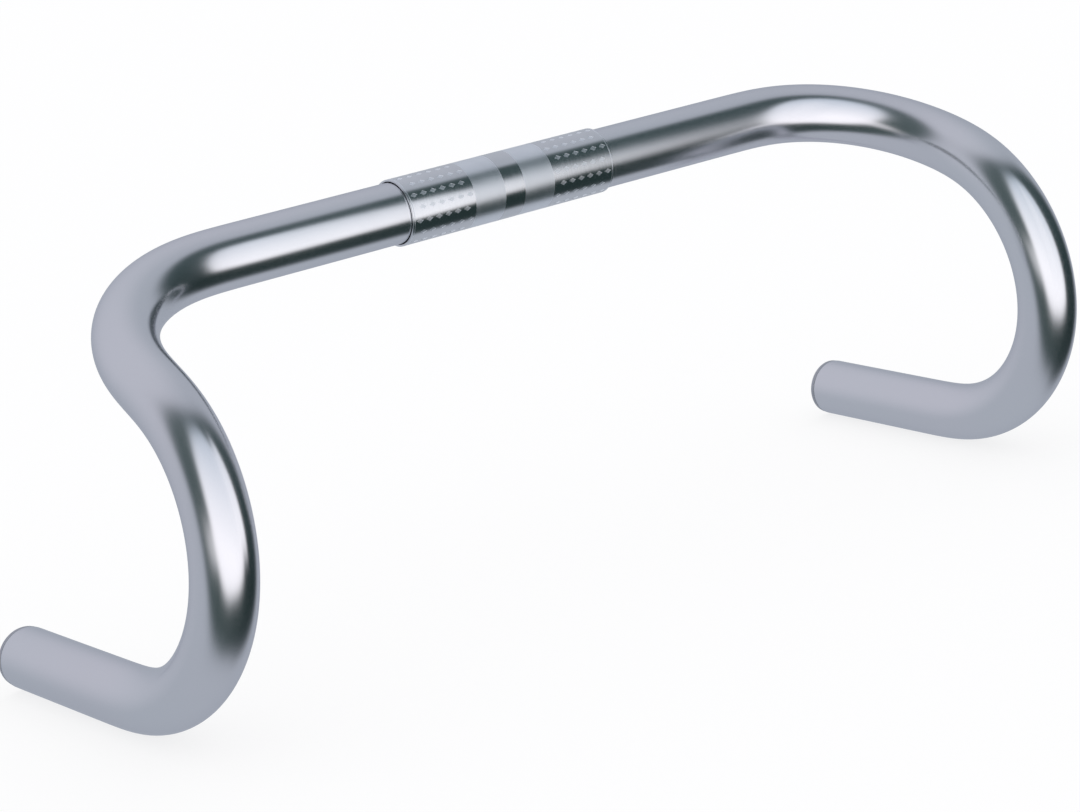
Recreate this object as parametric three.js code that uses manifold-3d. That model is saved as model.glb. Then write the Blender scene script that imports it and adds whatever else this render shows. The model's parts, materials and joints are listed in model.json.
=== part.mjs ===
// Drop handlebar for a road bicycle: one bent aluminium tube, a sleeve pressed over its middle
// for the stem clamp, and an expanding plug in each end.
// Millimetres. +X is the rider's left, -Y is forward and +Z is up. The origin is on the tube's
// axis at the middle of the sleeve.

import * as THREE from "three";
import { mergeVertices } from "three/addons/utils/BufferGeometryUtils.js";
import Module from "manifold-3d";

const wasm = await Module();
wasm.setup();

// ---- Driving dimensions ----

const GAP = 0.3; // clearance between pieces that touch

// Bent tube
const TUBE_RADIUS = 11.9; // 23.8 mm outside, the standard size for levers and tape
const TUBE_WALL = 1.6;
const TOP_HALF_LENGTH = 130; // straight top, from the middle to the corner bend
const CORNER_RADIUS = 64; // all bend radii are to the tube's axis
const CORNER_TURN = 90; // from sideways to straight ahead
const RAMP_SLOPE = 21.5; // degrees below level where the corner ends and the hook starts
const HOOK_RADIUS = 57;
const HOOK_TURN = 96;
const HEEL_RADIUS = 70;
const HEEL_TURN = 180 - RAMP_SLOPE - HOOK_TURN; // brings the grip back to level
const GRIP_LENGTH = 77; // straight lower grip
const DROP_FLARE = 4.2; // degrees that each hook's plane leans outwards
const BEND_STEP = 9; // degrees of bend in one step of the extrusion
const TUBE_SIDES = 24;
const BORE_SIDES = 16;

// Clamp sleeve
const SLEEVE_RADIUS = 13; // 26.0 mm clamp diameter
const SLEEVE_LENGTH = 97;
const SLEEVE_CHAMFER = 0.5;
const SLEEVE_SIDES = 48;

// End plugs. Heights are along the plug's axis, from the tube's cut face, positive outwards.
const FLANGE_RADIUS = 11.7;
const FLANGE_THICKNESS = 2;
const FLANGE_TOP = GAP + FLANGE_THICKNESS;
const EDGE_CHAMFER = 0.5;
const SPIGOT_RADIUS = 9.8;
const SPIGOT_LENGTH = 6;
const SCREW_RADIUS = 2; // M4 screw
const SCREW_HOLE_RADIUS = SCREW_RADIUS + GAP;
const HEAD_RADIUS = 3.5;
const HEAD_HEIGHT = 2.6;
const HEAD_RECESS = 0.3; // head below the flange's face
const SOCKET_RADIUS = 1.73; // 3 mm hexagon key, across corners
const SOCKET_DEPTH = 1.6;
const SCREW_LENGTH = 32; // from the flange's face to the screw's tip
const EXPANDER_TOP = -SPIGOT_LENGTH - GAP;
const EXPANDER_LENGTH = 16;
const EXPANDER_BORE = 4.6;
const TAPER_TOP = -13; // where the sleeve's bore starts to widen for the cone
const TAPER_RATE = 0.4; // radius gained per unit of depth
const TAPER_CLEARANCE = 0.4;
const SLOT_COUNT = 4;
const SLOT_WIDTH = 2;
const SLOT_TOP = -10.5;
const CONE_TOP = -14.5;
const CONE_LENGTH = 11;
const CONE_RIM = 2; // straight rim at the cone's wide end
const RIB_WIDTH = SLOT_WIDTH - 2 * GAP;
const RIB_REACH = 9.3; // radius of the ribs that stop the cone turning
const RIB_TOP = -16.5;
const PLUG_SIDES = 32;
const SCREW_SIDES = 16;

// ---- Materials ----

const metal = (color, roughness) => new THREE.MeshStandardMaterial({ color, roughness, metalness: 1 });
const TUBE_FINISH = metal(0xc3c6ce, 0.24);
const SLEEVE_FINISH = metal(0xccced6, 0.2);
const CAP_FINISH = metal(0xb4b7bf, 0.3);
const STEEL_FINISH = metal(0x94979d, 0.32);
const RUBBER_FINISH = new THREE.MeshStandardMaterial({ color: 0x26272a, roughness: 0.75, metalness: 0 });

// ---- Helpers ----

function namedMesh(name, geometry, material) {
  const mesh = new THREE.Mesh(geometry, material);
  mesh.name = name;
  return mesh;
}

function circlePoints(radius, sides) {
  const points = [];
  for (let i = 0; i < sides; i++) {
    const angle = (2 * Math.PI * i) / sides;
    points.push(new THREE.Vector2(radius * Math.cos(angle), radius * Math.sin(angle)));
  }
  return points;
}

// A solid turned about Z. The profile is a closed outline of [radius, height] corners, taken
// anticlockwise with the radius to the right and the height upwards.
function turned(profile, sides) {
  const outline = [...profile, profile[0]].map(([radius, height]) => new THREE.Vector2(radius, height));
  return new THREE.LatheGeometry(outline, sides).rotateX(Math.PI / 2);
}

function solidOf(geometry) {
  const bare = geometry.clone();
  bare.deleteAttribute("normal");
  bare.deleteAttribute("uv");
  const merged = mergeVertices(bare, 1e-4);
  return new wasm.Manifold(
    new wasm.Mesh({
      numProp: 3,
      vertProperties: new Float32Array(merged.attributes.position.array),
      triVerts: new Uint32Array(merged.index.array),
    }),
  );
}

function geometryOf(solid) {
  const mesh = solid.getMesh();
  const geometry = new THREE.BufferGeometry();
  geometry.setAttribute("position", new THREE.BufferAttribute(mesh.vertProperties, 3));
  geometry.setIndex(new THREE.BufferAttribute(mesh.triVerts, 1));
  geometry.computeVertexNormals();
  return geometry;
}

// ---- The tube's axis ----

// A walk along the axis that records a station, a point with its direction of travel, wherever
// the tube's section is placed.
class AxisWalk {
  constructor(point, tangent) {
    this.stations = [{ point, tangent }];
  }

  get end() {
    return this.stations[this.stations.length - 1];
  }

  straight(length) {
    const { point, tangent } = this.end;
    this.stations.push({ point: point.clone().addScaledVector(tangent, length), tangent: tangent.clone() });
  }

  // Turns towards a direction square to the travel, and returns the direction to go on turning.
  bend(radius, degrees, towards) {
    const { point, tangent } = this.end;
    const steps = Math.ceil(degrees / BEND_STEP);
    const turn = THREE.MathUtils.degToRad(degrees);
    for (let i = 1; i <= steps; i++) {
      const angle = (turn * i) / steps;
      const sine = Math.sin(angle);
      const cosine = Math.cos(angle);
      this.stations.push({
        point: point
          .clone()
          .addScaledVector(tangent, radius * sine)
          .addScaledVector(towards, radius * (1 - cosine)),
        tangent: tangent.clone().multiplyScalar(cosine).addScaledVector(towards, sine),
      });
    }
    return towards.clone().multiplyScalar(Math.cos(turn)).addScaledVector(tangent, -Math.sin(turn));
  }
}

// The rider's left half, from the middle of the bar to the end of the left grip.
function leftHalfStations() {
  const sideways = new THREE.Vector3(1, 0, 0);
  const slope = THREE.MathUtils.degToRad(RAMP_SLOPE);
  const flare = THREE.MathUtils.degToRad(DROP_FLARE);
  const ramp = new THREE.Vector3(0, -Math.cos(slope), -Math.sin(slope));
  const belowRamp = new THREE.Vector3(0, Math.sin(slope), -Math.cos(slope));
  const intoHook = belowRamp.multiplyScalar(Math.cos(flare)).addScaledVector(sideways, Math.sin(flare));

  const walk = new AxisWalk(new THREE.Vector3(), sideways);
  walk.straight(TOP_HALF_LENGTH);
  walk.bend(CORNER_RADIUS, CORNER_TURN, ramp);
  const intoHeel = walk.bend(HOOK_RADIUS, HOOK_TURN, intoHook);
  walk.bend(HEEL_RADIUS, HEEL_TURN, intoHeel);
  walk.straight(GRIP_LENGTH);
  return walk.stations;
}

// The same half mirrored to the rider's right, travelled from the grip's end to the middle.
function mirroredToRight(stations) {
  return stations
    .slice(1)
    .reverse()
    .map(({ point, tangent }) => ({
      point: new THREE.Vector3(-point.x, point.y, point.z),
      tangent: new THREE.Vector3(tangent.x, -tangent.y, -tangent.z),
    }));
}

// A curve that an extrusion steps along station by station, so that a straight takes one step.
class StationCurve extends THREE.Curve {
  constructor(stations) {
    super();
    this.stations = stations;
  }

  stationAt(share) {
    return this.stations[Math.round(share * (this.stations.length - 1))];
  }

  getPointAt(share) {
    return this.stationAt(share).point.clone();
  }

  getTangentAt(share) {
    return this.stationAt(share).tangent.clone();
  }
}

const leftHalf = leftHalfStations();
const barStations = [...mirroredToRight(leftHalf), ...leftHalf];

// ---- The bar ----

function barTube() {
  const section = new THREE.Shape(circlePoints(TUBE_RADIUS, TUBE_SIDES));
  section.holes.push(new THREE.Path(circlePoints(TUBE_RADIUS - TUBE_WALL, BORE_SIDES)));
  const geometry = new THREE.ExtrudeGeometry(section, {
    steps: barStations.length - 1,
    bevelEnabled: false,
    extrudePath: new StationCurve(barStations),
  });
  return namedMesh("bar_tube", geometry, TUBE_FINISH);
}

function clampSleeve() {
  const half = SLEEVE_LENGTH / 2;
  const bore = TUBE_RADIUS + GAP;
  const profile = [
    [bore, -half],
    [SLEEVE_RADIUS - SLEEVE_CHAMFER, -half],
    [SLEEVE_RADIUS, -half + SLEEVE_CHAMFER],
    [SLEEVE_RADIUS, half - SLEEVE_CHAMFER],
    [SLEEVE_RADIUS - SLEEVE_CHAMFER, half],
    [bore, half],
  ];
  const mesh = namedMesh("clamp_sleeve", turned(profile, SLEEVE_SIDES), SLEEVE_FINISH);
  mesh.rotation.y = Math.PI / 2;
  return mesh;
}

// ---- The end plug's pieces, about Z with the cut face at height 0 ----

const HEAD_TOP = FLANGE_TOP - HEAD_RECESS;
const HEAD_BOTTOM = HEAD_TOP - HEAD_HEIGHT;

// Flange over the tube's end, spigot in its bore and a counterbore for the screw's head.
function plugCap() {
  const counterbore = HEAD_RADIUS + GAP;
  const profile = [
    [SCREW_HOLE_RADIUS, -SPIGOT_LENGTH],
    [SPIGOT_RADIUS - EDGE_CHAMFER, -SPIGOT_LENGTH],
    [SPIGOT_RADIUS, -SPIGOT_LENGTH + EDGE_CHAMFER],
    [SPIGOT_RADIUS, GAP],
    [FLANGE_RADIUS, GAP],
    [FLANGE_RADIUS, FLANGE_TOP - EDGE_CHAMFER],
    [FLANGE_RADIUS - EDGE_CHAMFER, FLANGE_TOP],
    [counterbore, FLANGE_TOP],
    [counterbore, HEAD_BOTTOM - GAP],
    [SCREW_HOLE_RADIUS, HEAD_BOTTOM - GAP],
  ];
  return turned(profile, PLUG_SIDES);
}

// Rubber sleeve, slotted from its inner end, with a bore that widens for the cone.
function plugExpander() {
  const bottom = EXPANDER_TOP - EXPANDER_LENGTH;
  const mouth = EXPANDER_BORE + (TAPER_TOP - bottom) * TAPER_RATE;
  const profile = [
    [mouth, bottom],
    [SPIGOT_RADIUS, bottom],
    [SPIGOT_RADIUS, EXPANDER_TOP],
    [EXPANDER_BORE, EXPANDER_TOP],
    [EXPANDER_BORE, TAPER_TOP],
  ];
  let solid = solidOf(turned(profile, PLUG_SIDES));
  const depth = SLOT_TOP - bottom + 1; // runs 1 mm past the open end
  for (let i = 0; i < SLOT_COUNT / 2; i++) {
    const slot = new THREE.BoxGeometry(3 * SPIGOT_RADIUS, SLOT_WIDTH, depth);
    slot.translate(0, 0, SLOT_TOP - depth / 2);
    slot.rotateZ((2 * Math.PI * i) / SLOT_COUNT);
    solid = solid.subtract(solidOf(slot));
  }
  return geometryOf(solid);
}

// Cone nut, with a rib in each slot of the sleeve so that it slides but can't turn.
function plugCone() {
  const bottom = CONE_TOP - CONE_LENGTH;
  const smallEnd = EXPANDER_BORE + (TAPER_TOP - CONE_TOP) * TAPER_RATE - TAPER_CLEARANCE;
  const rimTop = bottom + CONE_RIM;
  const rim = smallEnd + (CONE_TOP - rimTop) * TAPER_RATE;
  const bore = SCREW_HOLE_RADIUS;
  const profile = [
    [bore, bottom],
    [rim, bottom],
    [rim, rimTop],
    [smallEnd, CONE_TOP],
    [bore, CONE_TOP],
  ];
  let solid = solidOf(turned(profile, PLUG_SIDES));
  const inner = bore + 1;
  for (let i = 0; i < SLOT_COUNT; i++) {
    const rib = new THREE.BoxGeometry(RIB_REACH - inner, RIB_WIDTH, RIB_TOP - bottom);
    rib.translate((RIB_REACH + inner) / 2, 0, (RIB_TOP + bottom) / 2);
    rib.rotateZ((2 * Math.PI * i) / SLOT_COUNT);
    solid = solid.add(solidOf(rib));
  }
  return geometryOf(solid);
}

// Cap screw with a hexagon socket. Its thread is left plain.
function plugScrew() {
  const tip = FLANGE_TOP - SCREW_LENGTH;
  const profile = [
    [0, tip],
    [SCREW_RADIUS - EDGE_CHAMFER, tip],
    [SCREW_RADIUS, tip + EDGE_CHAMFER],
    [SCREW_RADIUS, HEAD_BOTTOM],
    [HEAD_RADIUS, HEAD_BOTTOM],
    [HEAD_RADIUS, HEAD_TOP],
    [0, HEAD_TOP],
  ];
  const outline = profile.map(([radius, height]) => new THREE.Vector2(radius, height));
  const body = new THREE.LatheGeometry(outline, SCREW_SIDES).rotateX(Math.PI / 2);
  const depth = SOCKET_DEPTH + 1; // runs 1 mm past the head's top
  const socket = new THREE.CylinderGeometry(SOCKET_RADIUS, SOCKET_RADIUS, depth, 6);
  socket.rotateX(Math.PI / 2);
  socket.translate(0, 0, HEAD_TOP - SOCKET_DEPTH + depth / 2);
  return geometryOf(solidOf(body).subtract(solidOf(socket)));
}

// One plug, standing on the tube's end with its axis along the outward direction there.
function endPlug(side, point, outward) {
  const plug = new THREE.Group();
  plug.position.copy(point);
  plug.quaternion.setFromUnitVectors(new THREE.Vector3(0, 0, 1), outward);
  plug.add(namedMesh(`${side}_plug_cap`, plugCap(), CAP_FINISH));
  plug.add(namedMesh(`${side}_plug_expander`, plugExpander(), RUBBER_FINISH));
  plug.add(namedMesh(`${side}_plug_cone`, plugCone(), STEEL_FINISH));
  plug.add(namedMesh(`${side}_plug_screw`, plugScrew(), STEEL_FINISH));
  return plug;
}

// ---- Assembly ----

const handlebar = new THREE.Group();
const rightEnd = barStations[0];
const leftEnd = barStations[barStations.length - 1];
handlebar.add(barTube());
handlebar.add(clampSleeve());
handlebar.add(endPlug("left", leftEnd.point, leftEnd.tangent));
handlebar.add(endPlug("right", rightEnd.point, rightEnd.tangent.clone().negate()));

export default handlebar;
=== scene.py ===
import json
import math

import bmesh
import bpy
import numpy as np
from mathutils import Matrix, Vector
from mathutils.geometry import delaunay_2d_cdt


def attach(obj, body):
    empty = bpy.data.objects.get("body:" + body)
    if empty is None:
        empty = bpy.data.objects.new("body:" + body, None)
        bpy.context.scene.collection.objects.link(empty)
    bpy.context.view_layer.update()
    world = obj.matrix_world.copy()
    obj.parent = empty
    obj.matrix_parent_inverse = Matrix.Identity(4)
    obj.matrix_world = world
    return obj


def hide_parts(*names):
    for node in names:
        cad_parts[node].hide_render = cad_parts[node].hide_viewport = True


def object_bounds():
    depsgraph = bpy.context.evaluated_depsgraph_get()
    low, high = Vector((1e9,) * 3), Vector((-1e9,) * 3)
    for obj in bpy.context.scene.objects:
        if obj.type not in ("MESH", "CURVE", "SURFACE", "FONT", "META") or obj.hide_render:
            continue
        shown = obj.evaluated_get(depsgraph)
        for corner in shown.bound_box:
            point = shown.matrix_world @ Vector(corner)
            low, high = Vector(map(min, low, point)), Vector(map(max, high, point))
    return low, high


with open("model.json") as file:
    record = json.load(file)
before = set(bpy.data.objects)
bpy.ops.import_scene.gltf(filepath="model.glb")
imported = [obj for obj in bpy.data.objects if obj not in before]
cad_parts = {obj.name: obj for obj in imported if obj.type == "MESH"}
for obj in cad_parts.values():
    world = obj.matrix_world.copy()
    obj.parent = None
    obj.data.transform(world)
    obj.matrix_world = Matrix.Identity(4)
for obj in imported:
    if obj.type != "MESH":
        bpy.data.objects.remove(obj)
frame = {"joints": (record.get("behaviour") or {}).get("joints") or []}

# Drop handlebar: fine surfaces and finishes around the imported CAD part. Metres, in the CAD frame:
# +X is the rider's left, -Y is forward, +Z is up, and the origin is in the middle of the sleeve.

CAD_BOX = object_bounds()
SIDES = ("left", "right")

# ---- Driving dimensions, as in the CAD part ----

TUBE_RADIUS = 0.0119
TUBE_WALL = 0.0016
TOP_HALF_LENGTH = 0.130
CORNER_RADIUS = 0.064
CORNER_TURN = 90
RAMP_SLOPE = 21.5
HOOK_RADIUS = 0.057
HOOK_TURN = 96
HEEL_RADIUS = 0.070
HEEL_TURN = 180 - RAMP_SLOPE - HOOK_TURN
GRIP_LENGTH = 0.077
DROP_FLARE = 4.2

SLEEVE_RADIUS = 0.013
SLEEVE_BORE = 0.0122
SLEEVE_HALF = 0.0485

# Heights on a plug are along its axis from the tube's cut face, positive outwards.
FLANGE_RADIUS = 0.0117
FLANGE_BOTTOM = 0.0003
FLANGE_TOP = 0.0023
SPIGOT_RADIUS = 0.0098
SPIGOT_BOTTOM = -0.006
SCREW_RADIUS = 0.002
SCREW_HOLE = 0.0023
SCREW_PITCH = 0.0007
SCREW_TIP = -0.0297
HEAD_RADIUS = 0.0035
HEAD_TOP = 0.002
HEAD_BOTTOM = -0.0006
COUNTERBORE = 0.0038
COUNTERBORE_FLOOR = -0.0009
SOCKET_APOTHEM = 0.0015
SOCKET_DEPTH = 0.0016
EXPANDER_TOP = -0.0063
EXPANDER_BOTTOM = -0.0223
EXPANDER_BORE = 0.0046
TAPER_TOP = -0.013
TAPER_RATE = 0.4
SLOT_COUNT = 4
SLOT_WIDTH = 0.002
SLOT_TOP = -0.0105
CONE_TOP = -0.0145
CONE_BOTTOM = -0.0255
CONE_RIM = 0.002
CONE_SMALL_END = 0.0048
RIB_WIDTH = 0.0014
RIB_REACH = 0.0093
RIB_TOP = -0.0165


# ---- Stage: camera, floor, white surround and the studio that the metal mirrors ----

CAMERA_AZIMUTH = -35.418
CAMERA_ELEVATION = 14.742
CAMERA_ROLL = -7.389
CAMERA_DISTANCE = 1.18823
CAMERA_SIDE = 0.00608
CAMERA_LIFT = -0.0866
LENS_MM = 102.245
SENSOR_MM = 36

SURROUND = (0.995, 0.995, 1.0, 1)
SURROUND_STRENGTH = 1.1
FLOOR_COLOUR = (0.9, 0.9, 0.905, 1)
FLOOR_HALF = 60
FLOOR_GLOW = 0.8

# What polished metal mirrors, by the direction seen from the bar. Angles are in degrees: azimuth
# 0 is straight ahead and grows to the rider's left. Each region of light or dark is a rounded
# oval: its middle, its half sizes, how square it is, how soft its border is for its size, and
# how far it leans to the rider's right as it rises. The paper is brighter towards the side that
# it is lit from. The room's two pairs of colours run from the rider's right to the left, and the
# big light's from low to high. SOFTBOX_SIDE ends the big light on the rider's left.
PAPER = (0.455, 0.487, 0.548, 1)
PAPER_LIT = (0.575, 0.59, 0.66, 1)
PAPER_LIT_FROM = (-155, 45)
PAPER_LIT_SPREAD = (0.35, 0.95)
ROOM = {"middle": (0, 3), "half": (96, 72), "power": 2.6, "softness": 0.075, "lean": 0.2}
ROOM_UPPER = ((0.082, 0.112, 0.116, 1), (0.046, 0.072, 0.076, 1))
ROOM_LOWER = ((0.052, 0.077, 0.077, 1), (0.018, 0.031, 0.032, 1))
ROOM_ACROSS = (-0.8, 0.8)
ROOM_UPWARDS = (-0.5, 0.6)
SOFTBOX = {"middle": (-4, 14), "half": (49, 47), "power": 2.6, "softness": 0.09, "lean": 0}
SOFTBOX_SIDE = (37, -2)
SOFTBOX_LOW = (1.22, 1.21, 1.25, 1)
SOFTBOX_HIGH = (0.60, 0.68, 0.78, 1)
SOFTBOX_FADE = (-10, 62)
SOFTBOX_LEAN = 0.25
STRIP = {"middle": (-52, -3), "half": (24, 9), "power": 2, "softness": 0.4, "lean": 0}
STRIP_SHARE = 0.5

# A tall narrow light stands close ahead of the bar. From the rider's right half of the bar it is
# seen beside the big light, which it widens, and from the left half in front of it.
SIDE_LIGHT_PLACE = (0.18, -0.537, 0.15)
SIDE_LIGHT_TURN = 42
SIDE_LIGHT_SIZE = (0.33, 0.96)
SIDE_LIGHT_BORDERS = (0.05, 0.22)
SIDE_LIGHT_FADE = (-0.22, 0.77)


def add_camera():
    azimuth = math.radians(CAMERA_AZIMUTH)
    elevation = math.radians(CAMERA_ELEVATION)
    roll = math.radians(CAMERA_ROLL)
    level = math.cos(elevation)
    back = Vector((math.sin(azimuth) * level, -math.cos(azimuth) * level, math.sin(elevation)))
    right = Vector((math.cos(azimuth), math.sin(azimuth), 0))
    up = back.cross(right)
    place = back * CAMERA_DISTANCE + right * CAMERA_SIDE + up * CAMERA_LIFT
    rolled_right = right * math.cos(roll) + up * math.sin(roll)
    rolled_up = up * math.cos(roll) - right * math.sin(roll)
    data = bpy.data.cameras.new("camera")
    data.lens = LENS_MM
    data.sensor_width = SENSOR_MM
    camera = bpy.data.objects.new("camera", data)
    bpy.context.scene.collection.objects.link(camera)
    turn = Matrix((rolled_right, rolled_up, back)).transposed().to_4x4()
    camera.matrix_world = Matrix.Translation(place) @ turn
    bpy.context.scene.camera = camera


class Shader:
    """A node tree under construction. An input is given a plain value or another node's output."""

    def __init__(self, tree):
        self.tree = tree
        tree.nodes.clear()

    def add(self, kind, inputs=None, output=0, **settings):
        node = self.tree.nodes.new("ShaderNode" + kind)
        for name, value in settings.items():
            setattr(node, name, value)
        for key, value in (inputs or {}).items():
            socket = node.inputs[key]
            if isinstance(value, bpy.types.NodeSocket):
                self.tree.links.new(value, socket)
            else:
                socket.default_value = value
        return node.outputs[output] if len(node.outputs) else node

    def math(self, operation, a, b=0.0, clamp=False):
        return self.add("Math", {0: a, 1: b}, operation=operation, use_clamp=clamp)

    def parts(self, vector):
        node = self.tree.nodes.new("ShaderNodeSeparateXYZ")
        self.tree.links.new(vector, node.inputs[0])
        return tuple(node.outputs)

    def noise(self, vector, scale, detail=2.0, roughness=0.5):
        inputs = {"Vector": vector, "Scale": scale, "Detail": detail, "Roughness": roughness}
        return self.add("TexNoise", inputs)

    def stretched(self, vector, scale):
        return self.add("VectorMath", {0: vector, 1: scale}, operation="MULTIPLY")

    def remap(self, value, low, high, to_low, to_high, smooth=False):
        inputs = {0: value, 1: low, 2: high, 3: to_low, 4: to_high}
        return self.add("MapRange", inputs, interpolation_type="SMOOTHSTEP" if smooth else "LINEAR")

    def vary(self, noise, low, high):
        """Spreads the usual span of a noise, 0.3 to 0.7, over low to high."""
        return self.remap(noise, 0.3, 0.7, low, high)

    def mottled(self, noise, colour, darkest):
        """The colour, down to that share of it where the noise is low."""
        darker = tuple(darkest * c for c in colour) + (1,)
        return self.blend(self.remap(noise, 0.35, 0.65, 0.0, 1.0), darker, colour + (1,))

    def blend(self, factor, a, b):
        inputs = {0: factor, 6: a, 7: b}
        return self.add("Mix", inputs, output=2, data_type="RGBA")

    def bump(self, height, distance, strength=1.0, normal=None):
        inputs = {"Height": height, "Distance": distance, "Strength": strength}
        if normal is not None:
            inputs["Normal"] = normal
        return self.add("Bump", inputs)

    def surface(self, shader):
        self.add("OutputMaterial", {"Surface": shader})

    def finish(self, colour, roughness, normal, metallic=1.0, edge=(1, 1, 1, 1)):
        """Ends the material with a principled surface. edge is its tint at a grazing angle."""
        inputs = {
            "Base Color": colour,
            "Metallic": metallic,
            "Roughness": roughness,
            "Specular Tint": edge,
            "Normal": normal,
        }
        self.surface(self.add("BsdfPrincipled", inputs))


def soft_step(shader, value, edge):
    """0 below the edge and 1 above it. The edge is (where, softness), and a negative softness
    turns it round."""
    where, softness = edge
    slope = shader.math("DIVIDE", shader.math("SUBTRACT", value, where), softness)
    inputs = {0: shader.math("TANH", slope), 1: 0.5, 2: 0.5}
    return shader.add("Math", inputs, operation="MULTIPLY_ADD")


def oval(shader, azimuth, elevation, region):
    """1 inside a rounded oval region of directions, and 0 outside it."""
    power = region["power"]
    leaning = shader.math("MULTIPLY", elevation, region["lean"])
    azimuth = shader.math("ADD", azimuth, leaning)
    total = 0.0
    for angle, middle, half in zip((azimuth, elevation), region["middle"], region["half"]):
        away = shader.math("ABSOLUTE", shader.math("SUBTRACT", angle, middle))
        share = shader.math("POWER", shader.math("DIVIDE", away, half), power)
        total = shader.math("ADD", share, total)
    reach = shader.math("POWER", total, 1 / power)
    return soft_step(shader, reach, (1.0, -region["softness"]))


def add_world():
    """The camera and matt surfaces see white. Polished metal mirrors pale paper behind and beside
    it, and ahead a dark room with a big soft light in it."""
    world = bpy.data.worlds.new("studio")
    bpy.context.scene.world = world
    world.use_nodes = True
    world.cycles.sampling_method = "NONE"
    sky = Shader(world.node_tree)
    direction = sky.add("TexCoord")
    x, y, z = sky.parts(direction)
    azimuth = sky.math("DEGREES", sky.math("ARCTAN2", x, sky.math("MULTIPLY", y, -1.0)))
    elevation = sky.math("DEGREES", sky.math("ARCSINE", z))
    turn, rise = (math.radians(angle) for angle in PAPER_LIT_FROM)
    level = math.cos(rise)
    lit_from = (math.sin(turn) * level, -math.cos(turn) * level, math.sin(rise))
    facing = sky.add("VectorMath", {0: direction, 1: lit_from}, output=1, operation="DOT_PRODUCT")
    lit = sky.remap(facing, *PAPER_LIT_SPREAD, 0.0, 1.0, smooth=True)
    paper = sky.blend(lit, PAPER, PAPER_LIT)
    across = sky.remap(x, *ROOM_ACROSS, 0.0, 1.0)
    upwards = sky.remap(z, *ROOM_UPWARDS, 0.0, 1.0)
    room = sky.blend(upwards, sky.blend(across, *ROOM_LOWER), sky.blend(across, *ROOM_UPPER))
    leaning = sky.add("Math", {0: azimuth, 1: SOFTBOX_LEAN, 2: elevation}, operation="MULTIPLY_ADD")
    light = sky.blend(sky.remap(leaning, *SOFTBOX_FADE, 0.0, 1.0), SOFTBOX_LOW, SOFTBOX_HIGH)
    strip = sky.math("MULTIPLY", oval(sky, azimuth, elevation, STRIP), STRIP_SHARE)
    mirrored = sky.blend(oval(sky, azimuth, elevation, ROOM), paper, room)
    mirrored = sky.blend(strip, mirrored, SOFTBOX_LOW)
    softbox = oval(sky, azimuth, elevation, SOFTBOX)
    softbox = sky.math("MULTIPLY", softbox, soft_step(sky, azimuth, SOFTBOX_SIDE))
    mirrored = sky.blend(softbox, mirrored, light)
    polished = sky.add("Background", {0: mirrored, 1: 1.0})
    seen = sky.add("Background", {0: SURROUND, 1: 1.0})
    lighting = sky.add("Background", {0: SURROUND, 1: SURROUND_STRENGTH})
    paths = sky.tree.nodes.new("ShaderNodeLightPath")
    matt = sky.add("MixShader", {0: paths.outputs["Is Camera Ray"], 1: lighting, 2: seen})
    both = sky.add("MixShader", {0: paths.outputs["Is Glossy Ray"], 1: matt, 2: polished})
    sky.add("OutputWorld", {"Surface": both})


def add_floor():
    """White paper that glows a little, so that only a faint shadow shows on it."""
    material, shader = new_material("floor_paper")
    paper = shader.add("BsdfDiffuse", {"Color": FLOOR_COLOUR})
    glow = shader.add("Emission", {"Color": SURROUND, "Strength": 1.0})
    shader.surface(shader.add("MixShader", {0: FLOOR_GLOW, 1: paper, 2: glow}))
    level = CAD_BOX[0][2]
    half = FLOOR_HALF
    mesh = bpy.data.meshes.new("floor")
    corners = [(-half, -half, level), (half, -half, level), (half, half, level), (-half, half, level)]
    mesh.from_pydata(corners, [], [(0, 1, 2, 3)])
    mesh.materials.append(material)
    floor = bpy.data.objects.new("floor", mesh)
    bpy.context.scene.collection.objects.link(floor)
    floor.visible_glossy = False


def add_side_light():
    """A glowing card with soft borders, seen only in polished metal."""
    material, shader = new_material("side_light")
    place = shader.add("TexCoord", output=3)
    share = 1.0
    for coordinate, size, border in zip(shader.parts(place), SIDE_LIGHT_SIZE, SIDE_LIGHT_BORDERS):
        away = shader.math("ABSOLUTE", coordinate)
        inside = shader.remap(away, size / 2, size / 2 - border, 0.0, 1.0, smooth=True)
        share = shader.math("MULTIPLY", inside, share)
    height = shader.parts(shader.add("NewGeometry"))[2]
    colour = shader.blend(shader.remap(height, *SIDE_LIGHT_FADE, 0.0, 1.0), SOFTBOX_LOW, SOFTBOX_HIGH)
    glow = shader.add("Emission", {"Color": colour, "Strength": 1.0})
    shader.surface(shader.add("MixShader", {0: share, 1: shader.add("BsdfTransparent"), 2: glow}))
    w, h = (size / 2 for size in SIDE_LIGHT_SIZE)
    mesh = bpy.data.meshes.new("side_light")
    mesh.from_pydata([(-w, -h, 0), (w, -h, 0), (w, h, 0), (-w, h, 0)], [], [(0, 1, 2, 3)])
    mesh.materials.append(material)
    card = bpy.data.objects.new("side_light", mesh)
    bpy.context.scene.collection.objects.link(card)
    upright = Matrix.Rotation(math.radians(90), 4, "X")
    turned = Matrix.Rotation(math.radians(SIDE_LIGHT_TURN), 4, "Z")
    card.matrix_world = Matrix.Translation(SIDE_LIGHT_PLACE) @ turned @ upright
    for ray in ("camera", "diffuse", "shadow", "transmission", "volume_scatter"):
        setattr(card, "visible_" + ray, False)


# ---- Materials: noise scales are in cycles a metre, along each direction of the grain ----


def new_material(name):
    material = bpy.data.materials.new(name)
    material.use_nodes = True
    return material, Shader(material.node_tree)


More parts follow.
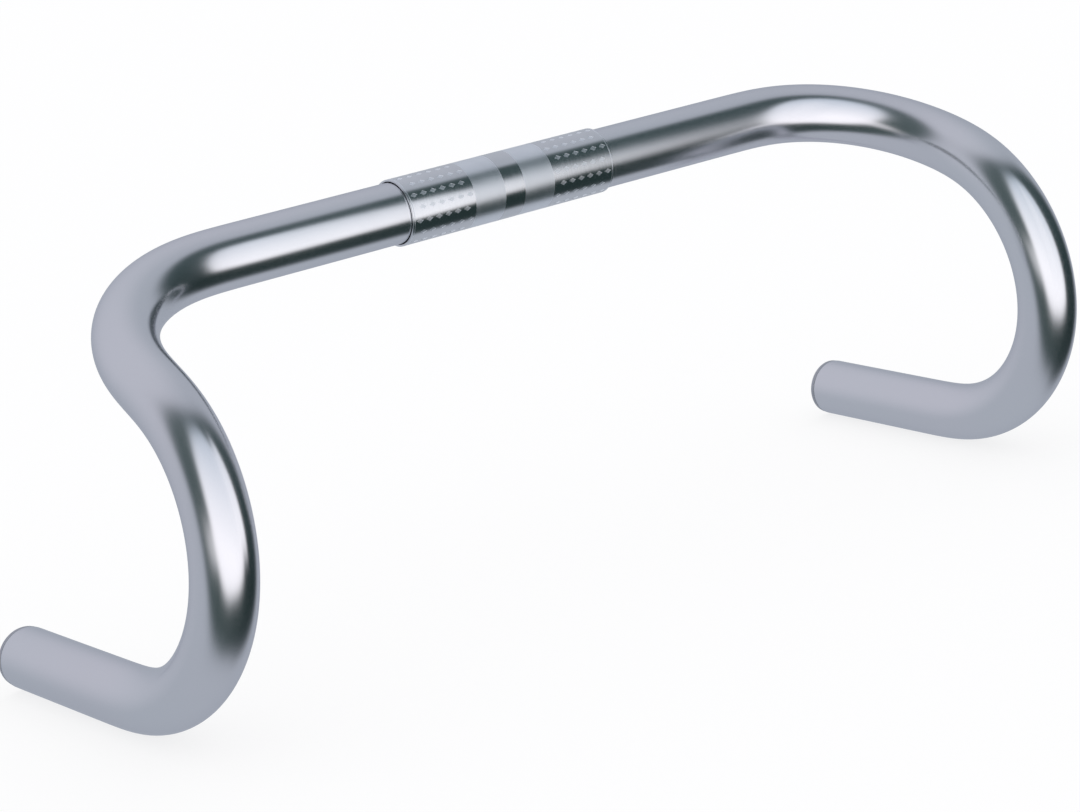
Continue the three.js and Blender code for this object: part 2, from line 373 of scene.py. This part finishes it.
def tube_material():
    """Polished and clear anodised aluminium: faint draw marks along the tube, finer buffing marks
    round it, slow patches in the sheen, and a few hair scratches."""
    material, shader = new_material("anodised_tube")
    grain = shader.add("Attribute", attribute_name="grain", output=1)
    draw = shader.noise(shader.stretched(grain, (9, 1100, 1100)), 1.0, 3.0)
    buff = shader.noise(shader.stretched(grain, (2500, 60, 60)), 1.0, 2.0)
    patches = shader.noise(grain, 28.0, 3.0, 0.6)
    clouds = shader.noise(grain, 9.0, 1.0)
    hair = shader.noise(shader.stretched(grain, (60, 2100, 2100)), 1.0, 1.0)
    scratch = shader.remap(hair, 0.74, 0.80, 0.0, 1.0, smooth=True)
    rough = shader.vary(patches, 0.18, 0.21)
    rough = shader.math("ADD", rough, shader.vary(draw, -0.008, 0.008))
    rough = shader.math("ADD", rough, shader.math("MULTIPLY", scratch, 0.06))
    tint = shader.remap(clouds, 0.35, 0.65, 0.0, 1.0, smooth=True)
    colour = shader.blend(tint, (0.79, 0.80, 0.825, 1), (0.80, 0.795, 0.825, 1))
    normal = shader.bump(draw, 0.0000012)
    normal = shader.bump(buff, 0.0000006, normal=normal)
    # The clear anodised skin takes a little off the mirroring at a grazing angle.
    shader.finish(colour, rough, normal, edge=(0.86, 0.865, 0.885, 1))
    return material


def bore_material():
    """Aluminium as drawn, never polished: dull, with long streaks."""
    material, shader = new_material("drawn_bore")
    grain = shader.add("Attribute", attribute_name="grain", output=1)
    streaks = shader.noise(shader.stretched(grain, (14, 900, 900)), 1.0, 3.0, 0.6)
    patches = shader.noise(grain, 45.0, 3.0, 0.6)
    colour = shader.blend(shader.vary(streaks, 0, 1), (0.52, 0.53, 0.55, 1), (0.70, 0.71, 0.73, 1))
    rough = shader.vary(patches, 0.42, 0.58)
    shader.finish(colour, rough, shader.bump(streaks, 0.000008), metallic=0.85)
    return material


def sleeve_material(name, colour, roughness, grit):
    """Aluminium turned round its axis, then polished or blasted. grit is the blasting's depth."""
    material, shader = new_material(name)
    place = shader.add("TexCoord", output=3)
    turning = shader.noise(shader.stretched(place, (2200, 40, 40)), 1.0, 2.0)
    patches = shader.noise(place, 60.0, 2.0)
    rough = shader.vary(patches, roughness - 0.02, roughness + 0.02)
    rough = shader.math("ADD", rough, shader.vary(turning, -0.015, 0.015))
    shade = shader.mottled(patches, colour, 0.94)
    normal = shader.bump(turning, 0.000003)
    if grit:
        pits = shader.noise(place, 3800.0, 2.0, 0.7)
        normal = shader.bump(pits, grit, normal=normal)
    shader.finish(shade, rough, normal)
    return material


def turned_material(name, colour, roughness, depth):
    """Metal turned on a lathe, with fine rings of that depth about the piece's own axis, Z."""
    material, shader = new_material(name)
    place = shader.add("Attribute", attribute_name="turning", output=1)
    rings = shader.noise(shader.stretched(place, (5200, 5200, 30)), 1.0, 2.0)
    patches = shader.noise(place, 180.0, 3.0, 0.6)
    rough = shader.vary(patches, roughness - 0.04, roughness + 0.04)
    shader.finish(shader.mottled(patches, colour, 0.88), rough, shader.bump(rings, depth))
    return material


def rubber_material():
    """Black rubber with a fine matt skin and a pale bloom on it in places."""
    material, shader = new_material("matt_rubber")
    place = shader.add("TexCoord", output=3)
    skin = shader.noise(place, 2400.0, 3.0, 0.7)
    bloom = shader.noise(place, 220.0, 3.0, 0.6)
    dust = shader.remap(bloom, 0.45, 0.75, 0.0, 1.0, smooth=True)
    colour = shader.blend(dust, (0.018, 0.018, 0.019, 1), (0.045, 0.045, 0.047, 1))
    rough = shader.vary(bloom, 0.55, 0.75)
    shader.finish(colour, rough, shader.bump(skin, 0.00002), metallic=0.0)
    return material


# ---- Mesh helpers ----

# Points nearer than this are one point.
SEAM = 1e-8

# The most of a side that the rounding of one corner takes.
SHARE_OF_SIDE = 0.45

# Metres of grain for each radian round a turned piece.
ANGLE_SCALE = 0.001


def piece_from(mesh, name, body, node, materials, place=None):
    """A finished piece: it rides on its body and stands for its CAD node."""
    piece = bpy.data.objects.new(name, mesh)
    bpy.context.scene.collection.objects.link(piece)
    for material in materials:
        mesh.materials.append(material)
    if place is not None:
        piece.matrix_world = place
    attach(piece, body)
    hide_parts(node)
    return piece


def mesh_from_rows(name, rows, closed):
    """A mesh of quads through rows of points, each row a ring. closed joins the last row to the
    first."""
    count, sides = rows.shape[:2]
    vertices = rows.reshape(-1, 3)
    quads = []
    for i in range(count if closed else count - 1):
        a, b = i * sides, ((i + 1) % count) * sides
        for j in range(sides):
            k = (j + 1) % sides
            quads.append((a + j, a + k, b + k, b + j))
    mesh = bpy.data.meshes.new(name)
    mesh.from_pydata(vertices.tolist(), [], quads)
    return mesh


def tidied(mesh, weld=None):
    """Welds points nearer than weld, turns the faces outwards and shades them smooth."""
    work = bmesh.new()
    work.from_mesh(mesh)
    if weld:
        bmesh.ops.remove_doubles(work, verts=work.verts, dist=weld)
    bmesh.ops.recalc_face_normals(work, faces=work.faces)
    for face in work.faces:
        face.smooth = True
    work.to_mesh(mesh)
    work.free()
    return mesh


def rounded(corners, radius, steps=4, closed=True):
    """The outline with each corner turned into a curve of about that radius, or less where a side
    is short."""
    points = []
    last = len(corners) - 1
    for i, corner in enumerate(corners):
        if not closed and i in (0, last):
            points.append(tuple(corner))
            continue
        here = Vector(corner)
        to_before = Vector(corners[i - 1]) - here
        to_after = Vector(corners[(i + 1) % len(corners)]) - here
        half_angle = to_before.angle(to_after) / 2
        room = SHARE_OF_SIDE * min(to_before.length, to_after.length)
        reach = min(radius / math.tan(half_angle), room)
        start = here + to_before.normalized() * reach
        end = here + to_after.normalized() * reach
        for k in range(steps + 1):
            t = k / steps
            point = start * (1 - t) ** 2 + here * (2 * t * (1 - t)) + end * t**2
            points.append(tuple(point))
    return points


def turned_mesh(name, profile, sides):
    """A solid turned about Z from a closed profile of (radius, height) points."""
    angles = np.arange(sides) * 2 * np.pi / sides
    rows = [
        np.stack([r * np.cos(angles), r * np.sin(angles), np.full(sides, h)], -1)
        for r, h in profile
    ]
    return tidied(mesh_from_rows(name, np.array(rows), True), weld=SEAM)


def store_vectors(mesh, name, values):
    attribute = mesh.attributes.new(name, "FLOAT_VECTOR", "POINT")
    attribute.data.foreach_set("vector", np.asarray(values, np.float32).ravel())


def points_of(mesh):
    points = np.empty(len(mesh.vertices) * 3)
    mesh.vertices.foreach_get("co", points)
    return points.reshape(-1, 3)


def store_turning(mesh):
    """Radius, height and a little of the angle round Z of each point, for the rings that a lathe
    leaves."""
    x, y, z = points_of(mesh).T
    angle = np.abs(np.arctan2(y, x))
    store_vectors(mesh, "turning", np.stack([np.hypot(x, y), z, ANGLE_SCALE * angle], -1))


# ---- The bent tube ----

TUBE_BORE = TUBE_RADIUS - TUBE_WALL
AXIS_STEP = 0.002
BORE_STRIDE = 4
EASING = 0.009
TUBE_SIDES = 96
END_ROUNDING = 0.0003
END_STEPS = 5
BORE_ROUNDING = 0.0002
BORE_STEPS = 4


def left_half_axis():
    """Points along the tube's axis from the middle to the left grip's end, evenly spaced."""
    point = Vector((0, 0, 0))
    travel = Vector((1, 0, 0))
    points = [point]

    def straight(length):
        nonlocal point
        steps = math.ceil(length / AXIS_STEP)
        start = point
        for i in range(1, steps + 1):
            points.append(start + travel * (length * i / steps))
        point = points[-1]

    def bend(radius, degrees, towards):
        """Returns the direction of the next bend's middle, for a bend in the same plane."""
        nonlocal point, travel
        turn = math.radians(degrees)
        steps = math.ceil(radius * turn / AXIS_STEP)
        start, first = point, travel
        for i in range(1, steps + 1):
            angle = turn * i / steps
            sideways = towards * (1 - math.cos(angle))
            points.append(start + (first * math.sin(angle) + sideways) * radius)
        point = points[-1]
        travel = first * math.cos(turn) + towards * math.sin(turn)
        return towards * math.cos(turn) - first * math.sin(turn)

    slope, flare = math.radians(RAMP_SLOPE), math.radians(DROP_FLARE)
    ramp = Vector((0, -math.cos(slope), -math.sin(slope)))
    below_ramp = Vector((0, math.sin(slope), -math.cos(slope)))
    into_hook = below_ramp * math.cos(flare) + Vector((math.sin(flare), 0, 0))
    straight(TOP_HALF_LENGTH)
    bend(CORNER_RADIUS, CORNER_TURN, ramp)
    into_heel = bend(HOOK_RADIUS, HOOK_TURN, into_hook)
    bend(HEEL_RADIUS, HEEL_TURN, into_heel)
    straight(GRIP_LENGTH)
    return np.array(points)


def eased(points):
    """The axis with each bend run gently into the next stretch, as a tube bends. Each point is
    the mean of its neighbours; the ends stay where they are."""
    reach = round(EASING / AXIS_STEP)
    last = len(points) - 1
    result = points.copy()
    for i in range(last + 1):
        span = min(reach, i, last - i)
        result[i] = points[i - span : i + span + 1].mean(axis=0)
    return result


def whole_axis():
    """Points and directions along the whole axis, from the right end to the left."""
    left = left_half_axis()
    points = eased(eased(np.vstack([left[:0:-1] * (-1, 1, 1), left])))
    travels = np.gradient(points, axis=0)
    return points, travels / np.linalg.norm(travels, axis=1)[:, None]


def tube_mesh():
    """The tube as one closed surface: out along the outside, over the left end, back through the
    bore and over the right end. grain holds each point's place along and across the tube."""
    points, travels = whole_axis()
    lengths = np.concatenate([[0], np.cumsum(np.linalg.norm(np.diff(points, axis=0), axis=1))])
    along = lengths - lengths[-1] / 2
    # The section is carried along without twisting about the axis.
    side = Vector(travels[0]).orthogonal().normalized()
    sides = [side]
    for before, after in zip(travels[:-1], travels[1:]):
        side = Vector(before).rotation_difference(Vector(after)) @ side
        side = (side - Vector(after) * side.dot(Vector(after))).normalized()
        sides.append(side)
    sides = np.array(sides)
    across = np.cross(travels, sides)
    angles = np.arange(TUBE_SIDES) * 2 * np.pi / TUBE_SIDES
    cosines, sines = np.cos(angles)[:, None], np.sin(angles)[:, None]

    rows, grain = [], []

    def add_row(i, radius, shift=0.0):
        ring = cosines * sides[i] + sines * across[i]
        rows.append(points[i] + travels[i] * shift + ring * radius)
        place = np.full((TUBE_SIDES, 1), along[i] + shift)
        grain.append(np.hstack([place, cosines * radius, sines * radius]))

    def add_lip(i, outwards, outer_first):
        """Rounded outer edge, flat cut face and rounded bore edge at one end."""
        lip = []
        for k in range(END_STEPS + 1):
            turn = math.pi / 2 * k / END_STEPS
            radius = TUBE_RADIUS - END_ROUNDING * (1 - math.cos(turn))
            lip.append((radius, -END_ROUNDING * (1 - math.sin(turn))))
        for k in range(BORE_STEPS + 1):
            turn = math.pi / 2 * k / BORE_STEPS
            radius = TUBE_BORE + BORE_ROUNDING * (1 - math.sin(turn))
            lip.append((radius, -BORE_ROUNDING * (1 - math.cos(turn))))
        for radius, shift in lip if outer_first else reversed(lip):
            add_row(i, radius, shift * outwards)

    last = len(points) - 1
    for i in range(1, last):
        add_row(i, TUBE_RADIUS)
    add_lip(last, 1, True)
    for i in range(last - BORE_STRIDE, 0, -BORE_STRIDE):
        add_row(i, TUBE_BORE)
    add_lip(0, -1, False)
    mesh = mesh_from_rows("bent_tube", np.array(rows), True)
    grain = np.concatenate(grain)
    store_vectors(mesh, "grain", grain)
    inside = np.hypot(grain[:, 1], grain[:, 2]) < TUBE_RADIUS - TUBE_WALL / 2
    for polygon in mesh.polygons:
        polygon.material_index = int(all(inside[i] for i in polygon.vertices))
    return tidied(mesh)


# ---- The sleeve ----

SLEEVE_COLUMNS = 160
SLEEVE_EDGE = 0.0005
CENTRE_PANEL_HALF = 0.0047
OUTER_PANEL = (0.019, 0.0475)
FROST_DEPTH = 0.00002
MARK_DEPTH = 0.00006
MARK_ROWS = 16
MARK_SPAN = (0.0222, 0.0443)
MARKS_PER_ROW = 6
DIAMOND = (0.0016, 0.0010)
# Points of the flat sleeve nearer than this are one point.
FLAT_SEAM = 1e-7
# The kind of cut that keeps every face between the lines.
ALL_FACES = 4
# How squarely a face that lies round the axis looks away from it.
ROUND_FACING = 0.98
# The most that a wall along the axis looks along it.
WALL_FACING = 0.02


def mark_outlines():
    """Small diamonds engraved on both outer panels, in staggered rows. An outline is a list of
    (x, arc) corners, anticlockwise, so that it counts as a filled face."""
    around = 2 * math.pi * SLEEVE_RADIUS
    start, end = MARK_SPAN
    pitch = (end - start) / (MARKS_PER_ROW - 1)
    w, h = DIAMOND
    outlines = []
    for row in range(MARK_ROWS):
        arc = around * (row + 0.5) / MARK_ROWS
        first = start - pitch / 4 if row % 2 else start + pitch / 4
        for k in range(MARKS_PER_ROW):
            for side in (1, -1):
                x = side * (first + pitch * k)
                outlines.append([(x - w, arc), (x, arc - h), (x + w, arc), (x, arc + h)])
    return outlines


def unrolled_sleeve():
    """The sleeve's outside laid flat and cut into faces along its marks and zone borders: points,
    faces, and for each face whether it is engraved."""
    around = 2 * math.pi * SLEEVE_RADIUS
    half = SLEEVE_HALF - SLEEVE_EDGE
    points, edges, faces = [], [], []
    for i in range(SLEEVE_COLUMNS + 1):
        arc = around * i / SLEEVE_COLUMNS
        edges.append((len(points), len(points) + 1))
        points += [(-half, arc), (half, arc)]
    borders = [-half, half]
    for side in (1, -1):
        borders += [side * CENTRE_PANEL_HALF, side * OUTER_PANEL[0], side * OUTER_PANEL[1]]
    for x in borders:
        edges.append((len(points), len(points) + 1))
        points += [(x, 0), (x, around)]
    for outline in mark_outlines():
        faces.append(list(range(len(points), len(points) + len(outline))))
        points += outline
    flat = [Vector(p) for p in points]
    result = delaunay_2d_cdt(flat, edges, faces, ALL_FACES, FLAT_SEAM, True)
    # Only a face inside an outline comes from one.
    return result[0], result[2], [bool(origins) for origins in result[5]]


def is_frosted(x):
    distance = abs(x)
    in_centre = distance < CENTRE_PANEL_HALF
    in_outer = OUTER_PANEL[0] < distance < OUTER_PANEL[1]
    return not (in_centre or in_outer)


def sleeve_mesh():
    flat_points, flat_faces, engraved = unrolled_sleeve()
    work = bmesh.new()
    for x, arc in flat_points:
        angle = arc / SLEEVE_RADIUS
        work.verts.new((x, SLEEVE_RADIUS * math.cos(angle), SLEEVE_RADIUS * math.sin(angle)))
    work.verts.ensure_lookup_table()
    marks, frosted = [], []
    for corners, cut in zip(flat_faces, engraved):
        face = work.faces.new([work.verts[i] for i in corners])
        face.smooth = True
        x = sum(flat_points[i][0] for i in corners) / len(corners)
        if cut:
            marks.append(face)
        elif is_frosted(x):
            frosted.append(face)
    bmesh.ops.remove_doubles(work, verts=work.verts, dist=FLAT_SEAM)

    def sink(faces, depth):
        made = bmesh.ops.extrude_face_region(work, geom=faces)["geom"]
        for item in made:
            if isinstance(item, bmesh.types.BMVert):
                outwards = Vector((0, item.co.y, item.co.z)).normalized()
                item.co -= outwards * depth
            elif isinstance(item, bmesh.types.BMFace):
                item.material_index = 1
        bmesh.ops.delete(work, geom=faces, context="FACES_ONLY")

    sink([f for f in marks if f.is_valid], MARK_DEPTH)
    sink([f for f in frosted if f.is_valid], FROST_DEPTH)
    close_sleeve_ends(work)
    bmesh.ops.recalc_face_normals(work, faces=work.faces)
    mesh = bpy.data.meshes.new("engraved_sleeve")
    work.to_mesh(mesh)
    work.free()
    shade_about_x(mesh)
    return mesh


def close_sleeve_ends(work):
    """Rolls both open edges over the rounded ends and joins them through the bore."""
    inner_edges = []
    for side in (1, -1):
        rim = [e for e in work.edges if e.is_boundary and e.verts[0].co.x * side > 0]
        corners = [(SLEEVE_HALF - SLEEVE_EDGE, SLEEVE_RADIUS), (SLEEVE_HALF, SLEEVE_RADIUS)]
        corners += [(SLEEVE_HALF, SLEEVE_BORE), (SLEEVE_HALF - SLEEVE_EDGE, SLEEVE_BORE)]
        end = rounded(corners, SLEEVE_EDGE, steps=5, closed=False)
        for x, radius in end[1:]:
            made = bmesh.ops.extrude_edge_only(work, edges=rim)["geom"]
            rim = [g for g in made if isinstance(g, bmesh.types.BMEdge)]
            for vert in {v for e in rim for v in e.verts}:
                outwards = Vector((0, vert.co.y, vert.co.z)).normalized()
                vert.co = outwards * radius + Vector((side * x, 0, 0))
        inner_edges += rim
    bmesh.ops.bridge_loops(work, edges=inner_edges)
    for face in work.faces:
        face.smooth = True


def shade_about_x(mesh):
    """Shades faces that lie round the X axis as round, walls of marks as flat, and the rounded
    ends smoothly."""
    normals = []
    for polygon in mesh.polygons:
        centre = polygon.center
        outwards = Vector((0, centre.y, centre.z)).normalized()
        facing = polygon.normal.dot(outwards)
        for index in polygon.loop_indices:
            place = mesh.vertices[mesh.loops[index].vertex_index].co
            radial = Vector((0, place.y, place.z)).normalized()
            if abs(facing) > ROUND_FACING:
                normals.append(radial if facing > 0 else -radial)
            elif abs(polygon.normal.x) < WALL_FACING or abs(centre.x) < SLEEVE_HALF - SLEEVE_EDGE:
                normals.append(polygon.normal)
            else:
                normals.append(Vector((0, 0, 0)))
    mesh.normals_split_custom_set(normals)


# ---- End plugs, built about Z with the tube's cut face at height 0 ----

CAP_SIDES = 96
CAP_EDGE = 0.0004
RELIEF_DEPTH = 0.0004
RELIEF_BOTTOM = -0.0012
RELIEF_SLOPE = 0.0002
FACE_GROOVE = (0.0089, 0.0098)
FACE_GROOVE_DEPTH = 0.0002

EXPANDER_SIDES = 64
EXPANDER_EDGE = 0.0003
EXPANDER_EASING = 0.00012
GRIP_RINGS = 6
GRIP_RING_DEPTH = 0.0004
GRIP_RING_CREST = (0.3, 0.7)
GRIP_RING_FOOT = 0.95
PAST_THE_END = 0.001

CONE_SIDES = 64
CONE_EDGE = 0.0002
CONE_EASING = 0.0001
RIB_ROOT = SCREW_HOLE + 0.001
RIB_BOTTOM = CONE_BOTTOM + 0.0001

SCREW_SIDES = 48
THREAD_DEPTH = 0.00038
THREAD_ROWS_PER_PITCH = 10
FLANK_RATE = 3.2
CREST_SHARE = 0.3
TIP_SHARE = 0.6
THREAD_BOTTOM = SCREW_TIP + 0.0004
THREAD_TOP = HEAD_BOTTOM - 0.0008
HEAD_EDGE = 0.0003
SOCKET_RIM = 1.3
SOCKET_MOUTH = 1.02
SOCKET_CHAMFER = 0.0001
SOCKET_FLOOR = 0.3
SOCKET_POINT = 0.0002

# An edge that turns by more than this is shaded sharp, and is eased in a part that was cut or
# joined.
SHARP_CUT = math.radians(40)
SHARP_SCREW = math.radians(50)


def cap_mesh():
    """Flanged cap: a spigot with a relief under the flange, a groove round its face and a
    counterbore for the screw."""
    relief = SPIGOT_RADIUS - RELIEF_DEPTH
    groove_inner, groove_outer = FACE_GROOVE
    groove_floor = FLANGE_TOP - FACE_GROOVE_DEPTH
    corners = [
        (SCREW_HOLE, SPIGOT_BOTTOM),
        (SPIGOT_RADIUS, SPIGOT_BOTTOM),
        (SPIGOT_RADIUS, RELIEF_BOTTOM),
        (relief, RELIEF_BOTTOM + RELIEF_SLOPE),
        (relief, FLANGE_BOTTOM),
        (FLANGE_RADIUS, FLANGE_BOTTOM),
        (FLANGE_RADIUS, FLANGE_TOP),
        (groove_outer, FLANGE_TOP),
        (groove_outer - FACE_GROOVE_DEPTH, groove_floor),
        (groove_inner + FACE_GROOVE_DEPTH, groove_floor),
        (groove_inner, FLANGE_TOP),
        (COUNTERBORE, FLANGE_TOP),
        (COUNTERBORE, COUNTERBORE_FLOOR),
        (SCREW_HOLE, COUNTERBORE_FLOOR),
    ]
    mesh = turned_mesh("end_cap", rounded(corners, CAP_EDGE), CAP_SIDES)
    store_turning(mesh)
    return mesh


def box_solid(size, centre, turn):
    """A plain box that cuts or joins, turned about Z."""
    mesh = bpy.data.meshes.new("box")
    work = bmesh.new()
    bmesh.ops.create_cube(work, size=1)
    bmesh.ops.scale(work, vec=size, verts=work.verts)
    bmesh.ops.translate(work, vec=centre, verts=work.verts)
    bmesh.ops.rotate(work, cent=(0, 0, 0), matrix=Matrix.Rotation(turn, 3, "Z"), verts=work.verts)
    work.to_mesh(mesh)
    work.free()
    return mesh


def combined(mesh, others, operation, easing):
    """The mesh joined with, or cut by, the other solids, with its sharp edges eased."""
    base = bpy.data.objects.new("base", mesh)
    bpy.context.scene.collection.objects.link(base)
    tools = []
    for other in others:
        tool = bpy.data.objects.new("tool", other)
        bpy.context.scene.collection.objects.link(tool)
        tools.append(tool)
        step = base.modifiers.new("step", "BOOLEAN")
        step.operation = operation
        step.solver = "EXACT"
        step.object = tool
    ease = base.modifiers.new("ease", "BEVEL")
    ease.width = easing
    ease.segments = 2
    ease.limit_method = "ANGLE"
    ease.angle_limit = SHARP_CUT
    graph = bpy.context.evaluated_depsgraph_get()
    result = bpy.data.meshes.new_from_object(base.evaluated_get(graph), depsgraph=graph)
    for item in [base] + tools:
        data = item.data
        bpy.data.objects.remove(item)
        bpy.data.meshes.remove(data)
    for polygon in result.polygons:
        polygon.use_smooth = True
    result.set_sharp_from_angle(angle=SHARP_CUT)
    return result


def expander_mesh():
    """Rubber sleeve with grip rings outside, four slots and a bore that widens for the cone."""
    mouth = EXPANDER_BORE + (TAPER_TOP - EXPANDER_BOTTOM) * TAPER_RATE
    corners = [(mouth, EXPANDER_BOTTOM), (SPIGOT_RADIUS - EXPANDER_EDGE, EXPANDER_BOTTOM)]
    pitch = (EXPANDER_TOP - EXPANDER_BOTTOM) / GRIP_RINGS
    for i in range(GRIP_RINGS):
        low = EXPANDER_BOTTOM + pitch * i
        corners += [(SPIGOT_RADIUS, low + share * pitch) for share in GRIP_RING_CREST]
        corners.append((SPIGOT_RADIUS - GRIP_RING_DEPTH, low + GRIP_RING_FOOT * pitch))
    corners += [(EXPANDER_BORE, low + GRIP_RING_FOOT * pitch), (EXPANDER_BORE, TAPER_TOP)]
    profile = rounded(corners, EXPANDER_EDGE, steps=2)
    mesh = turned_mesh("rubber_expander", profile, EXPANDER_SIDES)
    depth = SLOT_TOP - EXPANDER_BOTTOM + PAST_THE_END
    size = (3 * SPIGOT_RADIUS, SLOT_WIDTH, depth)
    # Each box runs right through, so it cuts two slots that face each other.
    slots = [
        box_solid(size, (0, 0, SLOT_TOP - depth / 2), 2 * math.pi * i / SLOT_COUNT)
        for i in range(SLOT_COUNT // 2)
    ]
    return combined(mesh, slots, "DIFFERENCE", EXPANDER_EASING)


def cone_mesh():
    """Cone nut with a straight rim and four ribs that run in the expander's slots."""
    rim_top = CONE_BOTTOM + CONE_RIM
    rim = CONE_SMALL_END + (CONE_TOP - rim_top) * TAPER_RATE
    corners = [
        (SCREW_HOLE, CONE_BOTTOM),
        (rim, CONE_BOTTOM),
        (rim, rim_top),
        (CONE_SMALL_END, CONE_TOP),
        (SCREW_HOLE, CONE_TOP),
    ]
    mesh = turned_mesh("cone_nut", rounded(corners, CONE_EDGE, steps=2), CONE_SIDES)
    size = (RIB_REACH - RIB_ROOT, RIB_WIDTH, RIB_TOP - RIB_BOTTOM)
    centre = ((RIB_REACH + RIB_ROOT) / 2, 0, (RIB_TOP + RIB_BOTTOM) / 2)
    ribs = [box_solid(size, centre, 2 * math.pi * i / SLOT_COUNT) for i in range(SLOT_COUNT)]
    result = combined(mesh, ribs, "UNION", CONE_EASING)
    store_turning(result)
    return result


def screw_mesh():
    """Cap screw with a rolled thread and a hexagon socket, as rings from its tip to the bottom of
    the socket."""
    angles = np.arange(SCREW_SIDES) * 2 * np.pi / SCREW_SIDES
    round_ring = np.ones(SCREW_SIDES)
    hexagon = SOCKET_APOTHEM / np.cos((angles + np.pi / 6) % (np.pi / 3) - np.pi / 6)
    rows = []

    def add_row(radii, height):
        x, y = radii * np.cos(angles), radii * np.sin(angles)
        rows.append(np.stack([x, y, height * round_ring], -1))

    add_row(0 * round_ring, SCREW_TIP)
    add_row(TIP_SHARE * SCREW_RADIUS * round_ring, SCREW_TIP)
    length = THREAD_TOP - THREAD_BOTTOM
    steps = int(length / SCREW_PITCH * THREAD_ROWS_PER_PITCH)
    for i in range(steps + 1):
        height = THREAD_BOTTOM + length * i / steps
        phase = (height / SCREW_PITCH - angles / (2 * np.pi)) % 1
        # 0 along the crest, 1 along the root, and steep flanks between them.
        groove = np.clip(FLANK_RATE * np.abs(phase - 0.5) - CREST_SHARE, 0, 1)
        # The thread starts over one pitch at the tip and runs out over two under the head.
        above_start = (height - THREAD_BOTTOM) / SCREW_PITCH
        below_end = (THREAD_TOP - height) / (2 * SCREW_PITCH)
        run_in = min(1, above_start, below_end)
        add_row(SCREW_RADIUS - THREAD_DEPTH * (groove * run_in + (1 - run_in)), height)
    neck = SCREW_RADIUS - THREAD_DEPTH
    add_row(neck * round_ring, HEAD_BOTTOM)
    corners = [(neck, HEAD_BOTTOM), (HEAD_RADIUS, HEAD_BOTTOM), (HEAD_RADIUS, HEAD_TOP)]
    corners.append((SOCKET_RIM * SOCKET_APOTHEM, HEAD_TOP))
    for radius, height in rounded(corners, HEAD_EDGE, closed=False)[1:]:
        add_row(radius * round_ring, height)
    floor = HEAD_TOP - SOCKET_DEPTH
    add_row(SOCKET_MOUTH * hexagon, HEAD_TOP - SOCKET_CHAMFER)
    add_row(hexagon, HEAD_TOP - 2 * SOCKET_CHAMFER)
    add_row(hexagon, floor)
    add_row(SOCKET_FLOOR * hexagon, floor)
    add_row(0 * round_ring, floor - SOCKET_POINT)
    mesh = tidied(mesh_from_rows("socket_screw", np.array(rows), False), weld=SEAM)
    mesh.set_sharp_from_angle(angle=SHARP_SCREW)
    store_turning(mesh)
    return mesh


def add_plug(side, materials):
    """The four pieces of one end plug, on the axis of its screw's joint."""
    joint = next(j for j in frame["joints"] if j["name"] == side + "_screw_turn")
    outwards = Vector(joint["axis"]).normalized()
    turn = Vector((0, 0, 1)).rotation_difference(outwards)
    place = Matrix.Translation(joint["pos_m"]) @ turn.to_matrix().to_4x4()
    body = side + "_plug"
    rows = (
        (cap_mesh(), "_end_cap", body, "_plug_cap", "plug_cap"),
        (expander_mesh(), "_rubber_expander", body, "_plug_expander", "plug_rubber"),
        (cone_mesh(), "_cone_nut", side + "_cone", "_plug_cone", "plug_steel"),
        (screw_mesh(), "_socket_screw", side + "_screw", "_plug_screw", "plug_steel"),
    )
    for mesh, name, rides_on, node, slot in rows:
        mesh.name = side + name
        piece_from(mesh, side + name, rides_on, side + node, [materials[slot]], place)


# ---- Assembly ----

add_camera()
add_world()
add_floor()
add_side_light()
bpy.context.scene.view_settings.view_transform = "Standard"

tube_finishes = [tube_material(), bore_material()]
piece_from(tube_mesh(), "bent_tube", "bar", "bar_tube", tube_finishes)
sleeve_finishes = [
    sleeve_material("polished_sleeve", (0.80, 0.81, 0.83), 0.12, 0),
    sleeve_material("frosted_sleeve", (0.93, 0.955, 0.99), 0.31, 0.0000015),
]
piece_from(sleeve_mesh(), "engraved_sleeve", "bar", "clamp_sleeve", sleeve_finishes)
plug_finishes = {
    "plug_cap": turned_material("turned_cap", (0.50, 0.51, 0.54), 0.30, 0.000004),
    "plug_rubber": rubber_material(),
    "plug_steel": turned_material("zinc_steel", (0.56, 0.57, 0.59), 0.34, 0.000003),
}
for side in SIDES:
    add_plug(side, plug_finishes)
